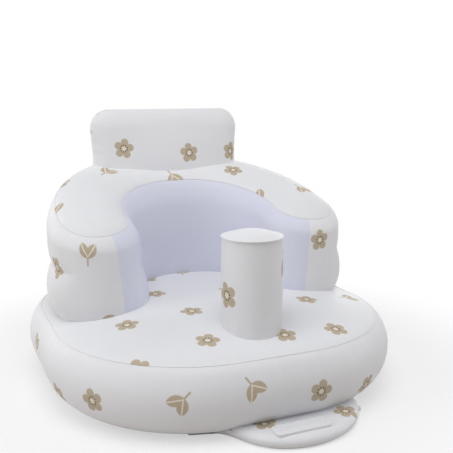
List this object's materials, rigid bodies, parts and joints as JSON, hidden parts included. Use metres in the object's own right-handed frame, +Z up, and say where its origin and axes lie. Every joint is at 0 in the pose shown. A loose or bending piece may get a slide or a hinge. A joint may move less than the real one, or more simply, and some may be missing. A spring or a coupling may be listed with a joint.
{
  "type": "inflatable chair",
  "caption": "Inflatable floor chair for a small child: round cushion base, horseshoe back with arms, headrest pillow, post between the legs and a built-in foot pump.",
  "frame": {"origin": "on the floor under the middle of the base", "axes": "+Z up, the sitter faces -Y, +X to the sitter's left"},
  "size_m": [0.54, 0.6078, 0.414],
  "materials": {
    "printed_film": "satin white vinyl film with a small scattered print",
    "lining_film": "satin pale lavender vinyl film",
    "plain_film": "satin white vinyl film",
    "foam": "open-cell foam",
    "valve_vinyl": "soft clear-white vinyl",
    "flap_rubber": "thin soft vinyl flap"
  },
  "bodies": {
    "chair": {"base_deck_panel": "printed_film", "base_side_wall": "printed_film", "back_outer_wall": "printed_film", "back_top_panel": "printed_film", "headrest_front_panel": "printed_film", "headrest_rear_panel": "printed_film", "post_wall": "printed_film", "post_top_disc": "printed_film", "pump_cover": "printed_film", "back_inner_lining": "lining_film", "base_floor_panel": "plain_film", "base_baffle_left": "plain_film", "base_baffle_middle": "plain_film", "base_baffle_right": "plain_film", "back_baffle": "plain_film", "pump_floor_sheet": "plain_film", "pump_foam": "foam", "base_valve_body": "valve_vinyl", "back_valve_body": "valve_vinyl", "pump_inlet_seat": "valve_vinyl", "pump_outlet_seat": "valve_vinyl"},
    "pump_pad": {"pump_press_pad": "plain_film"},
    "base_valve_flap": {"base_valve_flap": "flap_rubber"},
    "back_valve_flap": {"back_valve_flap": "flap_rubber"},
    "pump_inlet_flap": {"pump_inlet_flap": "flap_rubber"},
    "pump_outlet_flap": {"pump_outlet_flap": "flap_rubber"},
    "base_valve_plug": {"base_valve_plug": "valve_vinyl"},
    "back_valve_plug": {"back_valve_plug": "valve_vinyl"}
  },
  "joints": [
    {"name": "pump_press", "type": "slide", "parent": "chair", "child": "pump_pad", "axis": [0, 0, -1], "range_m": [0, 0.008], "stiffness_N_per_m": 2000, "deforming": ["pump_foam"]},
    {"name": "base_valve_flap_swing", "type": "hinge", "parent": "chair", "child": "base_valve_flap", "pos_m": [0, 0.26485, 0.0716], "axis": [-1, 0, 0], "range_deg": [0, 40]},
    {"name": "back_valve_flap_swing", "type": "hinge", "parent": "chair", "child": "back_valve_flap", "pos_m": [0, 0.24365, 0.255], "axis": [-1, 0, 0], "range_deg": [0, 40]},
    {"name": "pump_inlet_flap_swing", "type": "hinge", "parent": "chair", "child": "pump_inlet_flap", "pos_m": [0.11991, -0.25763, 0.0131], "axis": [0.4695, 0.8829, 0], "range_deg": [0, 40]},
    {"name": "pump_outlet_flap_swing", "type": "hinge", "parent": "chair", "child": "pump_outlet_flap", "pos_m": [0, -0.24612, 0.01705], "axis": [1, 0, 0], "range_deg": [0, 40]},
    {"name": "base_valve_plug_swing", "type": "hinge", "parent": "chair", "child": "base_valve_plug", "pos_m": [0, 0.2834, 0.045], "axis": [-1, 0, 0], "range_deg": [0, 130]},
    {"name": "back_valve_plug_swing", "type": "hinge", "parent": "chair", "child": "back_valve_plug", "pos_m": [0, 0.2622, 0.2284], "axis": [-1, 0, 0], "range_deg": [0, 130]}
  ]
}
